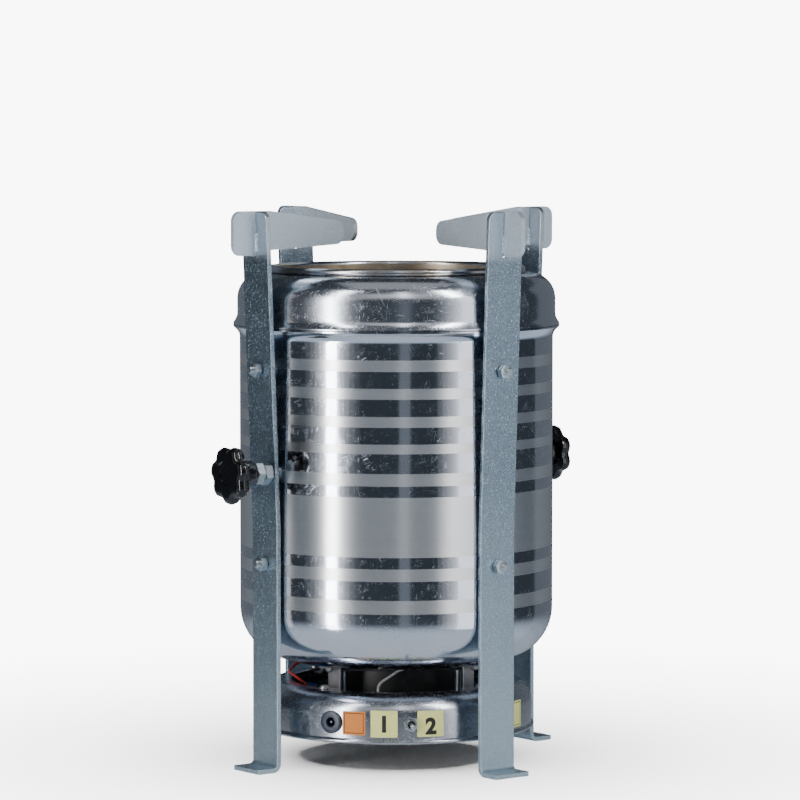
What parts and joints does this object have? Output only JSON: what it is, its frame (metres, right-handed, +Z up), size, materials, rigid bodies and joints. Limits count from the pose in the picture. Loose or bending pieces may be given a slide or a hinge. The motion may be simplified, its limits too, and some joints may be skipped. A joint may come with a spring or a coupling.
{
  "type": "forced-draft biomass cooking stove",
  "caption": "Forced-draft biomass stove: polished canister round a fire chamber, flat-bar legs with slotted pot supports, star knobs and a fan housing below.",
  "frame": {"origin": "on the floor, on the stove's vertical axis", "axes": "+Z up; -Y is the side with the power socket and the switch; +X to the right of that side"},
  "size_m": [0.2062, 0.2238, 0.3437],
  "materials": {
    "polished_stainless": "polished stainless sheet with matte turned bands",
    "satin_stainless": "satin stainless sheet",
    "heat_tinted_steel": "steel darkened and tinted by heat",
    "galvanised_steel": "galvanised flat bar, speckled",
    "bright_zinc": "bright zinc plating",
    "black_bakelite": "glossy black moulding",
    "black_plastic": "matte black moulding",
    "blue_plastic": "dark blue-grey moulding",
    "copper_winding": "lacquered winding",
    "cell_wrap": "shrink wrap",
    "board_green": "lacquered circuit board",
    "white_insulation": "wire insulation",
    "red_insulation": "wire insulation"
  },
  "bodies": {
    "stove": {"ash_deflector": "satin_stainless", "body_shell": "polished_stainless", "bracket_back_left": "satin_stainless", "bracket_back_right": "satin_stainless", "bracket_front_left": "satin_stainless", "bracket_front_right": "satin_stainless", "burner_ring": "heat_tinted_steel", "cell_cradle_left": "black_plastic", "cell_cradle_right": "black_plastic", "cell_left": "cell_wrap", "cell_right": "cell_wrap", "charge_board": "board_green", "combustion_chamber": "heat_tinted_steel", "dc_jack": "blue_plastic", "dc_jack_nut": "bright_zinc", "dc_jack_pin": "bright_zinc", "dome_shell": "polished_stainless", "fan_frame": "black_plastic", "fan_housing": "polished_stainless", "fan_screw_back_left": "bright_zinc", "fan_screw_back_right": "bright_zinc", "fan_screw_front_left": "bright_zinc", "fan_screw_front_right": "bright_zinc", "fan_stator": "copper_winding", "fuel_grate": "heat_tinted_steel", "housing_base": "satin_stainless", "knob_nut_left_1": "bright_zinc", "knob_nut_left_2": "bright_zinc", "knob_nut_right_1": "bright_zinc", "knob_nut_right_2": "bright_zinc", "knob_stud_left": "bright_zinc", "knob_stud_right": "bright_zinc", "lead_red": "red_insulation", "lead_white": "white_insulation", "leg_back_left": "galvanised_steel", "leg_back_right": "galvanised_steel", "leg_bolt_high_back_left": "bright_zinc", "leg_bolt_high_back_right": "bright_zinc", "leg_bolt_high_front_left": "bright_zinc", "leg_bolt_high_front_right": "bright_zinc", "leg_bolt_low_back_left": "bright_zinc", "leg_bolt_low_back_right": "bright_zinc", "leg_bolt_low_front_left": "bright_zinc", "leg_bolt_low_front_right": "bright_zinc", "leg_front_left": "galvanised_steel", "leg_front_right": "galvanised_steel", "pot_support_back_left": "galvanised_steel", "pot_support_back_right": "galvanised_steel", "pot_support_front_left": "galvanised_steel", "pot_support_front_right": "galvanised_steel", "switch_bushing": "bright_zinc", "switch_case": "blue_plastic", "switch_nut": "bright_zinc"},
    "fan_rotor": {"fan_rotor": "black_plastic"},
    "switch_lever": {"switch_lever": "bright_zinc"},
    "knob_left": {"knob_left": "black_bakelite"},
    "knob_right": {"knob_right": "black_bakelite"}
  },
  "joints": [
    {"name": "fan_spin", "type": "hinge", "parent": "stove", "child": "fan_rotor", "pos_m": [0, 0, 0.05], "axis": [0, 0, 1], "continuous": true},
    {"name": "switch_throw", "type": "hinge", "parent": "stove", "child": "switch_lever", "pos_m": [0.01996, -0.08314, 0.032], "axis": [0, 0, 1], "range_deg": [-12.5, 12.5]},
    {"name": "knob_left_turn", "type": "hinge", "parent": "stove", "child": "knob_left", "pos_m": [-0.08061, -0.08909, 0.1841], "axis": [-0.7071, -0.7071, 0], "continuous": true},
    {"name": "knob_right_turn", "type": "hinge", "parent": "stove", "child": "knob_right", "pos_m": [0.08061, 0.08909, 0.1841], "axis": [0.7071, 0.7071, 0], "continuous": true}
  ]
}
